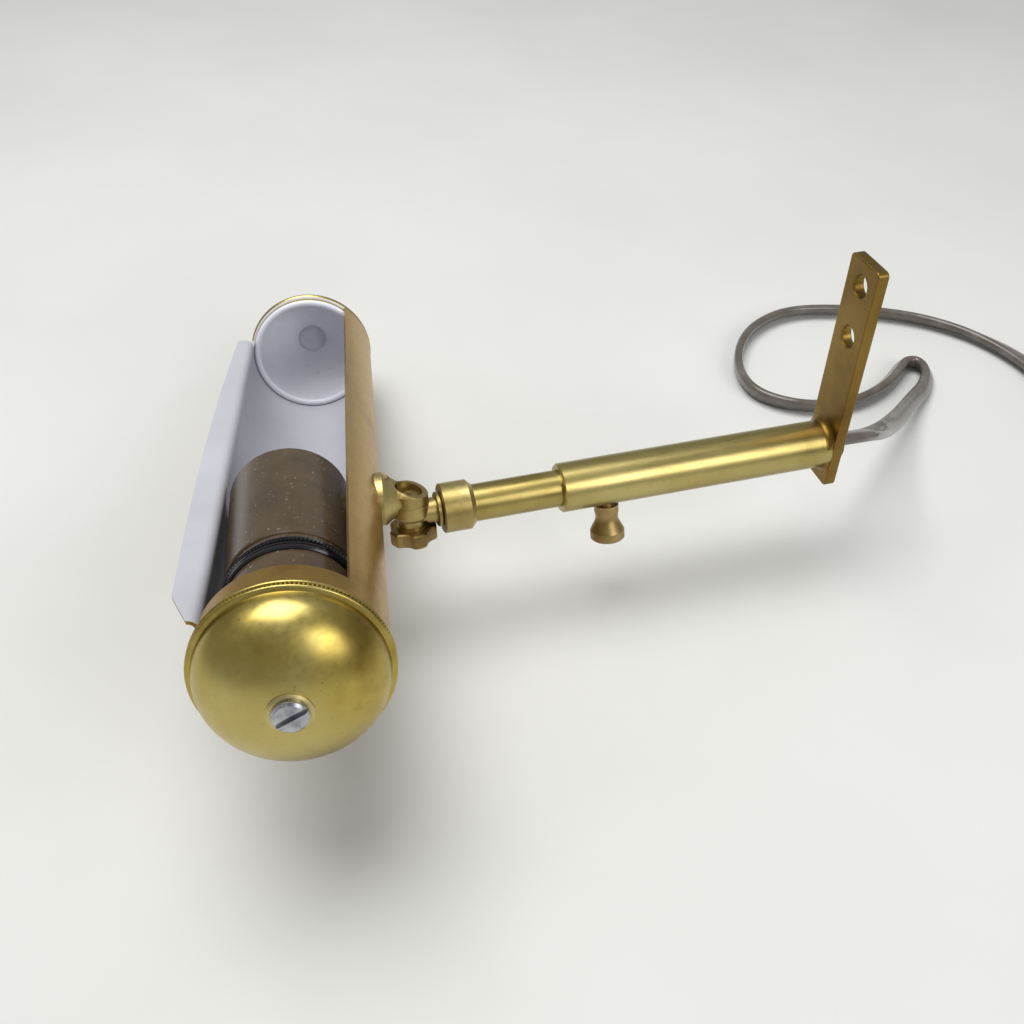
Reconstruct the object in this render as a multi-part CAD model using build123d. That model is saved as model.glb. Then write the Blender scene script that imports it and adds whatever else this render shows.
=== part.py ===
"""Brass piano lamp: trough shade, swivel, telescopic arm, bracket bar and flex.

Row frame: millimetres, +Z up, origin on the bar's back face midway between its
two screw holes, +Y out of the back of the bar.  Three working frames follow:
  ARM      x = +X, y = up, z = distance out from the front face of the bar
  PIVOT    origin on the swivel pin, z along the pin, y along the arm
  SHADE    origin on the shade's axis at its near rim, z along the axis,
           x towards the arm, y downwards
"""
from math import cos, pi, radians, sin, sqrt, tan
import os

from build123d import *

# ---- bracket bar -------------------------------------------------------------
BAR_WIDTH = 12.7
BAR_THICK = 3.0
BAR_ABOVE = 53.6            # top of the bar above the arm's axis
BAR_BELOW = 10.4            # bottom of the bar below the arm's axis
BAR_CORNER_R = 1.4
BAR_EDGE_R = 0.35
HOLE_SPACING = 14.0
HOLE_DIA = 5.5
HOLE_CHAMFER = 0.35
HOLES_ABOVE_ARM = 40.3      # middle of the two holes above the arm's axis
CABLE_HOLE_DIA = 8.0

# ---- telescopic arm ----------------------------------------------------------
RUN_FIT = 0.05              # radial clearance of a shaft in its hole
SEAT_GAP = 0.02             # gap between pieces that seat on each other
OUTER_DIA = 12.7
OUTER_LENGTH = 74.2
INNER_DIA = 9.5
INNER_WALL = 1.0
INNER_INSERTED = 52.0       # length of the inner tube inside the outer one
INNER_EXPOSED = 22.6        # bare inner tube between outer tube and ferrule
BRAZE_LEG = 1.8
MOUTH_CHAMFER = 0.4
BUSH_FLANGE_DIA = 10.4
BUSH_FLANGE_THICK = 1.4
BUSH_SHANK = 5.2
FERRULE_DIA = 12.6
FERRULE_LENGTH = 8.1
FERRULE_CHAMFER = 1.2
FERRULE_WEB = 2.4
INNER_IN_FERRULE = 4.2

# ---- thumbscrew under the outer tube -----------------------------------------
THUMB_FROM_MOUTH = 12.7     # from the outer tube's open end
THUMB_LEAN = 18.0           # degrees from straight down, towards +X
THUMB_THREAD_DIA = 4.0
THUMB_PAD_THICK = 0.6
THUMB_NECK_DIA = 6.4
THUMB_WAIST_DIA = 5.9
THUMB_HEAD_DIA = 9.0
THUMB_HEAD_RIM = 2.0
THUMB_KNOB_HEIGHT = 9.9

# ---- swivel ------------------------------------------------------------------
ARM_ROLL = 11.6             # degrees the swivel is turned about the arm
SWIVEL_BEND = 7.5           # degrees the shade's stem is swung about the pin
NECK_LENGTH = 7.5           # pin to the ferrule's front face
NECK_DIA = 8.8
NECK_BEAD = 1.3
LUG_DIA = 9.3
LUG_BOTTOM = -0.9           # underside of the arm's lug, from the arm's axis along the pin
LUG_EDGE_R = 1.6
BOSS_DIA = 6.6
BOSS_HEIGHT = 1.9
ARM_ROD_DIA = 6.4
STEM_RISE = 5.0             # shade stem's axis above the arm's axis, along the pin
PARTING = 3.6               # face between the two lugs
LUG_GAP = 0.08
LUG_RIM = 2.1               # rim of the shade's lug above its stem's axis, at the pin
LUG_SLOPE = 20.0            # degrees that the rim slopes down towards the arm
LUG_CROWN_R = 5.6
POCKET_DIA = 6.6
POCKET_FLOOR = 0.9          # lug floor under the pin's head
LUG_WALL = 0.8
STEM_DIA = 6.9              # arm half's stem in the ferrule
STEM_LENGTH = 4.0
CLIP_THICK = 1.0
CLIP_DIA = 9.1
WIRE_BORE_DIA = 4.2
PIN_DIA = 3.0
PIN_HEAD_DIA = 4.2
PIN_HEAD_HEIGHT = 0.8
SLOT_WIDTH = 0.8
WASHER_DIA = 7.6
WASHER_THICK = 0.5
STAR_DIA = 12.0
STAR_THICK = 3.8
STAR_POINTS = 5
STAR_FLUTE_R = 3.6
STAR_FLUTE_DEPTH = 1.0
STAR_TURN = 8.0

# ---- shade -------------------------------------------------------------------
SHADE_DIA = 38.0
SHADE_WALL = 0.8
SHADE_LENGTH = 166.8
HUB_FROM_NEAR = 62.92
HUB_REACH = 6.96            # pin to the shade's wall
HUB_BASE_DIA = 13.2
HUB_CONE = 4.2
STEM_THREAD_DIA = 9.8
WINDOW_START = 6.45         # closed collar at the near end
WINDOW_EDGE = 41.5          # degrees from the top towards the arm
LIP_START = 288.5           # degrees, where the lip's bend leaves the round wall
LIP_BEND_R = 1.5            # hollow side of the bend
LIP_RISE = 4.0              # degrees that the flat lip rises outwards
LIP_NEAR = 15.5             # corners of the lip's edge along the shade
LIP_FAR = 159.3
LIP_WIDTHS = (3.75, 4.35, 2.0)  # flat beyond the bend, at its near, middle and far
LIP_CORNER_R = 1.5

# ---- end caps ----------------------------------------------------------------
CAP_BEAD_R = 1.1
CAP_BEAD_OUT = 0.0          # middle of the near cap's bead outside the shade's radius
FAR_BEAD_R = 0.9
FAR_BEAD_OUT = -0.75
FAR_ROLL_R = 1.0            # rolled edge of the far cap, seen inside the shade
CAP_SKIRT = 3.0
CAP_DOME = 11.3
CAP_WALL = 0.8
CAP_SPIGOT = 5.0
CAP_FIT = 0.1
CAP_HOLE_DIA = 4.4
CAP_FLAT_DIA = 9.6
CUP_WASHER_DIA = 9.0
CUP_WASHER_THICK = 0.5
CAP_SCREW_HEAD_DIA = 7.0
CAP_SCREW_HEAD = 1.2
CAP_SCREW_DIA = 4.0
NEAR_SCREW_LENGTH = 15.5
FAR_SCREW_LENGTH = 3.2
FAR_NUT_DIA = 8.6
FAR_NUT_HEIGHT = 3.6
FAR_NUT_CROWN_R = 4.7

# ---- lampholder and its bracket ----------------------------------------------
HOLDER_SEAT = 4.0           # bracket's plate beyond the shade's near rim
HOLDER_TILT = 2.8           # degrees the holder leans away from the arm
STRAP_WIDTH = 11.0
STRAP_THICK = 1.0
STRAP_FIT = 0.1
STRAP_PLATE = 1.5
STRAP_PLATE_DIA = 22.0
STUD_DIA = 9.8
STUD_NEAR = 6.0
STUD_FAR = 6.5
STUD_NUT_FLATS = 13.0
STUD_NUT_THICK = 3.0
HOLDER_DIA = 28.8
HOLDER_WALL = 1.8
HOLDER_STEP = 0.5           # lampholder's base inside its shell and ring
HOLDER_CAP_NOSE_DIA = 17.0
HOLDER_CAP_BASE = 7.0       # solid base of the cap over the stud
WIRE_SLOT_WIDTH = 4.6
WIRE_SLOT_LENGTH = 4.2
HOLDER_PLATE_AT = 2.2       # near face of the bracket's plate, along the holder's axis
HOLDER_COLLAR = 5.7
HOLDER_RING_START = 16.5
HOLDER_RING = 4.4
HOLDER_SHELL_START = 23.1
HOLDER_SHELL_END = 63.7
HOLDER_MOUTH_DIA = 16.8
HOLDER_MOUTH_WALL = 2.5
INSULATOR_THICK = 9.0
SOCKET_BORE_DIA = 14.0
SOCKET_WALL = 0.4
SOCKET_LENGTH = 22.0
SOCKET_FOOT = 3.0           # wider foot on the ceramic, round the centre contact
SOCKET_FOOT_STEP = 0.8
TERMINAL_OFFSET = 6.5
TERMINAL_HEAD_DIA = 4.4
TERMINAL_DIA = 2.6
CONTACT_WIDTH = 3.0
CONTACT_THICK = 0.4
HUB_NUT_FLATS = 12.0
HUB_NUT_THICK = 1.8
SADDLE_DIA = 12.0
SADDLE_FACE = 3.2           # flat of the saddle washer inside the shade's wall

# ---- wires and flex ----------------------------------------------------------
WIRE_DIA = 1.4
SLEEVE_DIA = 1.7
WIRE_BEND_FROM_HUB = 12.92  # where the wires leave the stem's nut for the strap
WIRE_BEND_LENGTH = 9.0
WIRE_FROM_STRAP = 1.7
WIRE_ENTRY = 9.0            # into the lampholder's base
FLEX_WIDTH = 5.4            # round stand-in for the flat flex
FLAT_WIDTH = 6.0
FLAT_THICK = 3.1
FLEX_INSIDE = 72.0          # flex inside the arm, from the bar's front face
FLOOR_Z = -77.0             # surface that the flex lies on
FLEX_Z = FLOOR_Z + FLEX_WIDTH / 2 + 0.1

# ---- put-away coil and plug ----------------------------------------------------
COIL_X, COIL_Y = -24.0, 159.0
COIL_RADII = (22.4, 28.5, 34.6, 40.7)
COIL_LAYERS = 2
TIE_THICK = 0.8
TIE_WIDTH = 7.0
TIE_ANGLE = 150.0
PLUG_X, PLUG_Y = -30.0, 219.0
PLUG_LENGTH = 34.0
PLUG_WIDTH = 25.0
PLUG_HEIGHT = 13.4
PLUG_RELIEF = 16.0
PIN_SPACING = 19.0
PLUG_PIN_DIA = 4.0
PLUG_PIN_LENGTH = 19.0

# ---- places worked out from the sizes above ----------------------------------
ARM_Z = -HOLES_ABOVE_ARM
FERRULE_START = OUTER_LENGTH + INNER_EXPOSED
FERRULE_END = FERRULE_START + FERRULE_LENGTH
PIVOT_Y = -BAR_THICK - FERRULE_END - NECK_LENGTH
SHADE_R = SHADE_DIA / 2
SHADE_BORE_R = SHADE_R - SHADE_WALL
CAP_HEIGHT = CAP_SKIRT + CAP_DOME
OUTER_BORE_R = INNER_DIA / 2 + RUN_FIT
BOSS_FACE = LUG_BOTTOM - BOSS_HEIGHT
NUT_FACE = BOSS_FACE - WASHER_THICK - 2 * SEAT_GAP
GROOVE_OUT = LUG_DIA / 2 - LUG_WALL
GROOVE_IN = PIN_DIA / 2 + 0.55
GROOVE_MID = (GROOVE_OUT + GROOVE_IN) / 2
HOLDER_CAP_DIA = HOLDER_DIA - 2 * HOLDER_STEP
HOLDER_BASE = HOLDER_PLATE_AT + STRAP_PLATE + SEAT_GAP
HOLDER_CAP_END = HOLDER_SHELL_START - 2 * SEAT_GAP
INSULATOR_START = HOLDER_CAP_END + HOLDER_COLLAR + SEAT_GAP
INSULATOR_END = INSULATOR_START + INSULATOR_THICK
BOTTOM = (Align.CENTER, Align.CENTER, Align.MIN)

ARM = Plane(origin=(0, -BAR_THICK, ARM_Z), x_dir=(1, 0, 0), z_dir=(0, -1, 0)).location
PIVOT = Pos(0, PIVOT_Y, ARM_Z) * Rot(0, -ARM_ROLL, 0)
SWUNG = PIVOT * Rot(0, 0, -SWIVEL_BEND)
SHADE = SWUNG * Plane(
    origin=(HUB_FROM_NEAR, -HUB_REACH - SHADE_R, STEM_RISE), x_dir=(0, 1, 0), z_dir=(-1, 0, 0)
).location
FAR_END = SHADE * Pos(0, 0, SHADE_LENGTH) * Rot(0, 180, 0)
HOLDER = SHADE * Pos(0, 0, HOLDER_SEAT) * Rot(0, -HOLDER_TILT, 0)
THUMB = ARM * Pos(0, 0, OUTER_LENGTH - THUMB_FROM_MOUTH) * Plane(
    origin=(0, 0, 0), x_dir=(0, 0, 1),
    z_dir=(sin(radians(THUMB_LEAN)), -cos(radians(THUMB_LEAN)), 0)
).location


# ---- small makers --------------------------------------------------------------
def disc(radius, start, end):
    """A plain round bar along z from start to end."""
    return Pos(0, 0, start) * Cylinder(radius, end - start, align=BOTTOM)


def ring(outer, inner, start, end):
    """A round tube along z from start to end."""
    return disc(outer, start, end) - disc(inner, start - 1, end + 1)


def turned(*points):
    """A solid turned about z from a closed outline of (radius, z) points."""
    return revolve(Plane.XZ * make_face(Polyline(*points, close=True)), Axis.Z)


def turned_face(lines):
    """A solid turned about z from a closed outline of joined lines and curves."""
    return revolve(Plane.XZ * make_face(lines), Axis.Z)


def hexagon(flats, start, end):
    """A hexagonal bar along z, by its size across the flats."""
    outline = RegularPolygon(flats / 2, 6, major_radius=False)
    return Pos(0, 0, start) * extrude(outline, amount=end - start)


def along_y(shape):
    """Turn a shape made along +z so that it runs along +y."""
    return Rot(-90, 0, 0) * shape


def bent_tube(points, radius, bends):
    """A round tube along straight runs joined by tangent arcs."""
    path = FilletPolyline(*points, radius=bends)
    section = Plane(origin=path @ 0, z_dir=path % 0) * Circle(radius)
    return sweep(section, path=path)


def bend_radii(points):
    """The largest arc at each corner: 0.45 of the shorter run, by half the turn."""
    radii = []
    for before, corner, after in zip(points, points[1:], points[2:]):
        run_in = Vector(*corner) - Vector(*before)
        run_out = Vector(*after) - Vector(*corner)
        shorter = min(run_in.length, run_out.length)
        radii.append(0.45 * shorter / tan(radians(run_in.get_angle(run_out)) / 2))
    return radii


# ---- bracket -------------------------------------------------------------------
def screw_hole(radius):
    """Cutter for a hole through the bar, eased at both faces."""
    mouth = radius + HOLE_CHAMFER
    return turned(
        (0, -1), (mouth, -1), (mouth, 0), (radius, HOLE_CHAMFER),
        (radius, BAR_THICK - HOLE_CHAMFER), (mouth, BAR_THICK), (mouth, BAR_THICK + 1),
        (0, BAR_THICK + 1),
    )


def bracket_bar():
    length = BAR_ABOVE + BAR_BELOW
    middle = ARM_Z + (BAR_ABOVE - BAR_BELOW) / 2
    outline = Plane.XZ * RectangleRounded(BAR_WIDTH, length, BAR_CORNER_R)
    bar = Pos(0, 0, middle) * extrude(outline, amount=BAR_THICK)
    bar = fillet(bar.faces().sort_by(Axis.Y)[0].edges(), BAR_EDGE_R)
    bar = fillet(bar.faces().sort_by(Axis.Y)[-1].edges(), BAR_EDGE_R)
    for height in (-HOLE_SPACING / 2, HOLE_SPACING / 2):
        bar -= Pos(0, -BAR_THICK, height) * along_y(screw_hole(HOLE_DIA / 2))
    cable_hole = disc(CABLE_HOLE_DIA / 2, -1, BAR_THICK + 1)
    return bar - Pos(0, -BAR_THICK, ARM_Z) * along_y(cable_hole)


# ---- telescopic arm --------------------------------------------------------------
def outer_tube():
    radius = OUTER_DIA / 2
    tube = turned(
        (OUTER_BORE_R, 0), (radius, 0), (radius, OUTER_LENGTH - MOUTH_CHAMFER),
        (radius - MOUTH_CHAMFER, OUTER_LENGTH), (OUTER_BORE_R, OUTER_LENGTH),
    )
    tapped = disc(THUMB_THREAD_DIA / 2 + RUN_FIT, OUTER_BORE_R - 2, radius + 2)
    return ARM * tube - THUMB * tapped


def braze_fillet():
    """Brazing metal in the corner between the tube and the bar, above and below."""
    radius = OUTER_DIA / 2 + SEAT_GAP
    reach = radius + BRAZE_LEG
    size = (BAR_WIDTH - 2 * BAR_EDGE_R, 2 * reach, BRAZE_LEG)
    block = Pos(0, 0, SEAT_GAP) * Box(*size, align=BOTTOM) & disc(reach, -1, 9)
    hollow = Plane.XZ * Pos(reach, SEAT_GAP + BRAZE_LEG) * Circle(BRAZE_LEG)
    return ARM * (block - revolve(hollow, Axis.Z) - disc(radius, -1, 9))


def tube_bush():
    """Flanged plastic bush that lines the bar's cable hole and the tube's end."""
    shank = CABLE_HOLE_DIA / 2 - RUN_FIT
    bore = FLEX_WIDTH / 2 + RUN_FIT
    back = -BAR_THICK - BUSH_FLANGE_THICK
    edge = 0.5
    rim = BUSH_FLANGE_DIA / 2
    return ARM * turned(
        (bore, back), (rim - edge, back), (rim, back + edge), (rim, -BAR_THICK - SEAT_GAP),
        (shank, -BAR_THICK - SEAT_GAP), (shank, back + BUSH_SHANK), (bore, back + BUSH_SHANK),
    )


def inner_tube():
    radius = INNER_DIA / 2
    start = OUTER_LENGTH - INNER_INSERTED
    return ARM * ring(radius, radius - INNER_WALL, start, FERRULE_START + INNER_IN_FERRULE)


def ferrule():
    """Turned collar on the end of the inner tube, with a web that holds the swivel."""
    radius, edge = FERRULE_DIA / 2, 0.3
    bore = INNER_DIA / 2 + SEAT_GAP
    web = FERRULE_END - FERRULE_WEB
    hole = STEM_DIA / 2 + RUN_FIT
    return ARM * turned(
        (bore, FERRULE_START), (radius - FERRULE_CHAMFER, FERRULE_START),
        (radius, FERRULE_START + FERRULE_CHAMFER), (radius, FERRULE_END - edge),
        (radius - edge, FERRULE_END), (hole, FERRULE_END), (hole, web), (bore, web),
    )


def thumb_pad():
    """Loose pad between the thumbscrew's tip and the inner tube."""
    low = INNER_DIA / 2 + SEAT_GAP
    return THUMB * disc(THUMB_THREAD_DIA / 2, low, low + THUMB_PAD_THICK)


def thumb_screw():
    """Thumbscrew with a waisted neck and a flared, rounded head."""
    tip = INNER_DIA / 2 + THUMB_PAD_THICK + 2 * SEAT_GAP
    base = OUTER_DIA / 2 + 0.3
    top = base + THUMB_KNOB_HEIGHT
    rim_low = top - THUMB_HEAD_RIM - 0.6
    waist_at = base + THUMB_KNOB_HEIGHT * 0.33
    thread, neck = THUMB_THREAD_DIA / 2, THUMB_NECK_DIA / 2
    waist, head = THUMB_WAIST_DIA / 2, THUMB_HEAD_DIA / 2
    bell = Spline(
        (neck, base + 1.6), (waist, waist_at), (head, rim_low),
        tangents=((0, 1), (0.35, 1)), tangent_scalars=(1, 1),
    )
    lines = [
        Polyline((0, tip), (thread, tip), (thread, base), (neck, base), (neck, base + 1.6)),
        bell,
        Polyline((head, rim_low), (head, top - 0.6), (head - 0.5, top - 0.1), (0, top), (0, tip)),
    ]
    return THUMB * turned_face(lines)


# ---- swivel ----------------------------------------------------------------------
def swivel_arm_half():
    """Lower half of the swivel: grooved lug and boss, beaded neck and the ferrule's stem."""
    rod, lug = ARM_ROD_DIA / 2, LUG_DIA / 2
    top = PARTING - LUG_GAP / 2
    neck, stem = NECK_DIA / 2, STEM_DIA / 2
    bead = NECK_LENGTH - NECK_BEAD - SEAT_GAP
    body = disc(lug, LUG_BOTTOM, top)
    body = fillet(body.edges().group_by(Axis.Z)[0], LUG_EDGE_R)
    body += disc(BOSS_DIA / 2, BOSS_FACE, LUG_BOTTOM + 1)
    arm = along_y(disc(rod, 0, bead + 0.2))
    arm -= Pos(0, 0, top + LUG_DIA / 2) * Box(LUG_DIA + 0.6, LUG_DIA + 0.6, LUG_DIA)
    arm -= disc(lug - 0.1, BOSS_FACE - rod, LUG_BOTTOM)
    collar = along_y(turned(
        (0, bead), (neck - 0.35, bead), (neck, bead + 0.3),
        (neck, NECK_LENGTH - 0.3 - SEAT_GAP), (neck - 0.35, NECK_LENGTH - SEAT_GAP),
        (stem, NECK_LENGTH - SEAT_GAP), (stem, NECK_LENGTH + STEM_LENGTH),
        (0, NECK_LENGTH + STEM_LENGTH),
    ))
    half = body + arm + collar
    half -= disc(PIN_DIA / 2 + RUN_FIT, -LUG_DIA, LUG_DIA)
    half -= ring(GROOVE_OUT, GROOVE_IN, LUG_BOTTOM + 1.2, LUG_DIA)
    bore = along_y(disc(WIRE_BORE_DIA / 2, GROOVE_IN, NECK_LENGTH + STEM_LENGTH + 1))
    return PIVOT * (half - (bore & Pos(0, 0, top - LUG_DIA - 1) * Box(99, 99, 2 * LUG_DIA)))


def swivel_clip():
    """Ring on the stem, behind the ferrule's web, that keeps the swivel in."""
    start = NECK_LENGTH + FERRULE_WEB + 2 * RUN_FIT
    clip = ring(CLIP_DIA / 2, STEM_DIA / 2, start, start + CLIP_THICK)
    return PIVOT * along_y(clip)


def swivel_shade_half():
    """Upper half of the swivel: open-topped lug, cone and the stem in the shade."""
    lug, bottom = LUG_DIA / 2, PARTING + LUG_GAP / 2
    wall, stem_r = -HUB_REACH, STEM_THREAD_DIA / 2
    inner_end = wall - SADDLE_FACE - HUB_NUT_THICK - 0.3
    body = disc(lug, bottom, STEM_RISE + lug)
    cone = along_y(turned(
        (0, inner_end), (stem_r, inner_end), (stem_r, wall - 3), (HUB_BASE_DIA / 2, wall - 3),
        (HUB_BASE_DIA / 2, wall + 0.8), (lug - 0.5, wall + HUB_CONE), (lug - 0.5, 0), (0, 0),
    ))
    cone = Pos(0, 0, STEM_RISE) * cone - disc(lug + 2 * LUG_GAP, bottom - 2 * LUG_DIA, bottom)
    shell = Pos(0, wall - SHADE_R, STEM_RISE) * Rot(0, 90, 0) * Cylinder(SHADE_R + SEAT_GAP, 60)
    stem = Pos(0, 0, STEM_RISE) * along_y(disc(stem_r, inner_end, wall + 2))
    crown = Pos(0, 0, STEM_RISE - LUG_CROWN_R + lug - 0.6) * Sphere(LUG_CROWN_R)
    rim = Box(4 * LUG_DIA, 4 * LUG_DIA, LUG_DIA, align=BOTTOM)
    over = Pos(0, 0, STEM_RISE + LUG_RIM) * Rot(-LUG_SLOPE, 0, 0) * rim
    half = (body & crown) + (cone - shell) + stem
    half -= over & disc(lug + 1, 0, 3 * LUG_DIA)
    half -= disc(POCKET_DIA / 2, bottom + POCKET_FLOOR, 3 * LUG_DIA)
    half -= disc(PIN_DIA / 2 + SEAT_GAP, 0, LUG_DIA)
    half -= Pos(0, 0, STEM_RISE) * along_y(disc(stem_r - 1.9, inner_end - 1, wall + HUB_CONE))
    wires = SLEEVE_DIA / 2 + 3 * RUN_FIT
    half -= Pos(0, 0, STEM_RISE) * along_y(disc(wires, wall, 0))
    return SWUNG * (half - Pos(0, -GROOVE_MID, 0) * disc(wires, 0, STEM_RISE + LUG_RIM + 1))


def pivot_screw():
    """Slotted pin that clamps the two lugs; its head lies in the pocket."""
    seat = PARTING + LUG_GAP / 2 + POCKET_FLOOR + SEAT_GAP
    tip = NUT_FACE - STAR_THICK - 0.4
    screw = disc(PIN_DIA / 2, tip, seat) + disc(PIN_HEAD_DIA / 2, seat, seat + PIN_HEAD_HEIGHT)
    screw -= Pos(0, -GROOVE_MID, 0) * disc(SLEEVE_DIA / 2 + RUN_FIT, seat - 1, seat + STEM_RISE)
    slot = Box(PIN_HEAD_DIA + 1, SLOT_WIDTH, PIN_HEAD_HEIGHT)
    return SWUNG * (screw - Pos(0, 0, seat + PIN_HEAD_HEIGHT) * Rot(0, 0, 35) * slot)


def swivel_washer():
    top = BOSS_FACE - SEAT_GAP
    return PIVOT * ring(WASHER_DIA / 2, PIN_DIA / 2 + RUN_FIT, top - WASHER_THICK, top)


def star_nut():
    """Hand nut with rounded points and shallow flutes between them."""
    radius = STAR_DIA / 2
    outline = Circle(radius)
    reach = radius - STAR_FLUTE_DEPTH + STAR_FLUTE_R
    for index in range(STAR_POINTS):
        angle = radians(STAR_TURN + 360 / STAR_POINTS * (index + 0.5))
        outline -= Pos(reach * cos(angle), reach * sin(angle)) * Circle(STAR_FLUTE_R)
    outline = fillet(outline.vertices(), 0.7)
    nut = Pos(0, 0, NUT_FACE - STAR_THICK) * extrude(outline, amount=STAR_THICK)
    nut = chamfer(nut.faces().sort_by(Axis.Z)[0].edges(), 0.35)
    nut = chamfer(nut.faces().sort_by(Axis.Z)[-1].edges(), 0.35)
    return PIVOT * (nut - disc(PIN_DIA / 2 + RUN_FIT, NUT_FACE - 2 * STAR_THICK, 0))


def hub_saddle():
    """Washer inside the shade, curved on one side to the strap."""
    wall_r = SHADE_BORE_R - STRAP_FIT - STRAP_THICK - SEAT_GAP
    blank = Pos(0, 0, HUB_FROM_NEAR) * Rot(0, 90, 0) * disc(SADDLE_DIA / 2, SHADE_R - SADDLE_FACE,
                                                            SHADE_R)
    hole = Pos(0, 0, HUB_FROM_NEAR) * Rot(0, 90, 0) * disc(STEM_THREAD_DIA / 2 + RUN_FIT, 0, SHADE_R)
    return SHADE * ((blank & disc(wall_r, 0, SHADE_LENGTH)) - hole)


def hub_nut():
    end = SHADE_R - SADDLE_FACE - SEAT_GAP
    nut = hexagon(HUB_NUT_FLATS, end - HUB_NUT_THICK, end)
    nut -= disc(STEM_THREAD_DIA / 2 + RUN_FIT, 0, SHADE_R)
    return SHADE * Pos(0, 0, HUB_FROM_NEAR) * Rot(0, 90, 0) * nut


# ---- shade -----------------------------------------------------------------------
def rim_point(radius, angle):
    """A point of the shade's section, by its angle from the top towards the arm."""
    return (radius * sin(radians(angle)), -radius * cos(radians(angle)))


def lip_bend():
    """Middle of the bend that turns the round wall out into the lip."""
    return rim_point(SHADE_R + LIP_BEND_R, LIP_START)


def lip_bend_arc(radius):
    """The bend's arc at a radius, from the round wall to the flat lip."""
    x, y = lip_bend()
    turn = LIP_START - 180 - LIP_RISE
    return CenterArc((x, y), radius, LIP_START + 90, -turn)


def trough_section():
    """Round wall from the window's edge round to the lip, its bend and the flat lip."""
    middle = (WINDOW_EDGE + LIP_START) / 2
    outer = ThreePointArc(*(rim_point(SHADE_R, a) for a in (WINDOW_EDGE, middle, LIP_START)))
    inner = ThreePointArc(*(rim_point(SHADE_BORE_R, a) for a in (LIP_START, middle, WINDOW_EDGE)))
    hollow, crown = lip_bend_arc(LIP_BEND_R), lip_bend_arc(LIP_BEND_R + SHADE_WALL)
    reach = Vector(-cos(radians(LIP_RISE)), -sin(radians(LIP_RISE))) * max(LIP_WIDTHS) * 1.5
    return make_face([
        outer,
        hollow,
        Polyline(hollow @ 1, hollow @ 1 + reach, crown @ 1 + reach, crown @ 1),
        crown,
        inner,
        Line(rim_point(SHADE_BORE_R, WINDOW_EDGE), rim_point(SHADE_R, WINDOW_EDGE)),
    ])


def lip_outline():
    """The lip from above, (z, x) in the shade's frame, with what lies inside its bend."""
    root = lip_bend()[0]
    near, middle, far = (root - width for width in LIP_WIDTHS)
    edge = ThreePointArc((LIP_NEAR, near), ((LIP_NEAR + LIP_FAR) / 2 - 8, middle), (LIP_FAR, far))
    face = make_face([
        edge,
        Polyline((LIP_FAR, far), (LIP_FAR, root + 2.6), (WINDOW_START, root + 2.6),
                 (WINDOW_START, root),
                 (LIP_NEAR, near)),
    ])
    corners = face.vertices().sort_by(Axis.Y)[:2]
    return fillet(corners, LIP_CORNER_R)


def shade_shell():
    """Brass sheet trough with a closed collar at its near end and a lip bent outwards."""
    whole = extrude(trough_section(), amount=SHADE_LENGTH - WINDOW_START)
    whole = Pos(0, 0, WINDOW_START) * whole
    wall_top = rim_point(SHADE_BORE_R, LIP_START)
    blank = Pos(-2 * SHADE_R, wall_top[1], -1) * Box(
        2 * SHADE_R, 2 * SHADE_R, SHADE_LENGTH + 2, align=(Align.MIN, Align.MAX, Align.MIN))
    from_above = Plane(origin=(0, 0, 0), x_dir=(0, 0, 1), z_dir=(0, 1, 0))
    lip = extrude(from_above * lip_outline(), amount=-2 * SHADE_R)
    shell = whole - (blank - lip)
    shell += ring(SHADE_R, SHADE_BORE_R, 0, WINDOW_START)
    stem_hole = Rot(0, 90, 0) * disc(STEM_THREAD_DIA / 2 + RUN_FIT, SHADE_BORE_R - 3, SHADE_R + 2)
    return SHADE * (shell - Pos(0, 0, HUB_FROM_NEAR) * stem_hole)


# ---- caps ------------------------------------------------------------------------
def end_cap(bead_r, bead_out, spigot_length):
    """Spun dome with a beaded rim and a spigot that enters the shade; dome towards -z."""
    skin_r = SHADE_R + min(bead_out, 0) - 0.2
    pole = -CAP_HEIGHT
    flat = CAP_FLAT_DIA / 2
    outer = EllipticalCenterArc((0, -CAP_SKIRT), skin_r, CAP_DOME, 270, arc_size=90)
    inner = EllipticalCenterArc(
        (0, -CAP_SKIRT), skin_r - CAP_WALL, CAP_DOME - CAP_WALL, 270, arc_size=90
    )
    skin = make_face([
        outer,
        Line((skin_r, -CAP_SKIRT), (skin_r, 0)),
        Line((skin_r, 0), (skin_r - CAP_WALL, 0)),
        Line((skin_r - CAP_WALL, 0), (skin_r - CAP_WALL, -CAP_SKIRT)),
        inner,
        Line((0, pole + CAP_WALL), (0, pole)),
    ])
    cap = revolve(Plane.XZ * skin, Axis.Z)
    spigot = SHADE_BORE_R - CAP_FIT
    cap += ring(spigot, spigot - CAP_WALL, -1.2, spigot_length)
    bead = Plane.XZ * Pos(SHADE_R + bead_out, -bead_r - SEAT_GAP) * Circle(bead_r)
    cap += revolve(bead, Axis.Z)
    cap -= disc(flat, pole - 2, pole + 0.35)
    return cap - disc(CAP_HOLE_DIA / 2, pole - 2, pole + 4)


def far_cap():
    """Cap of the far end; its spigot's edge is rolled inwards."""
    roll = Plane.XZ * Pos(SHADE_BORE_R - CAP_FIT - FAR_ROLL_R, FAR_ROLL_R) * Circle(FAR_ROLL_R)
    return end_cap(FAR_BEAD_R, FAR_BEAD_OUT, FAR_ROLL_R) + revolve(roll, Axis.Z)


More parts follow.
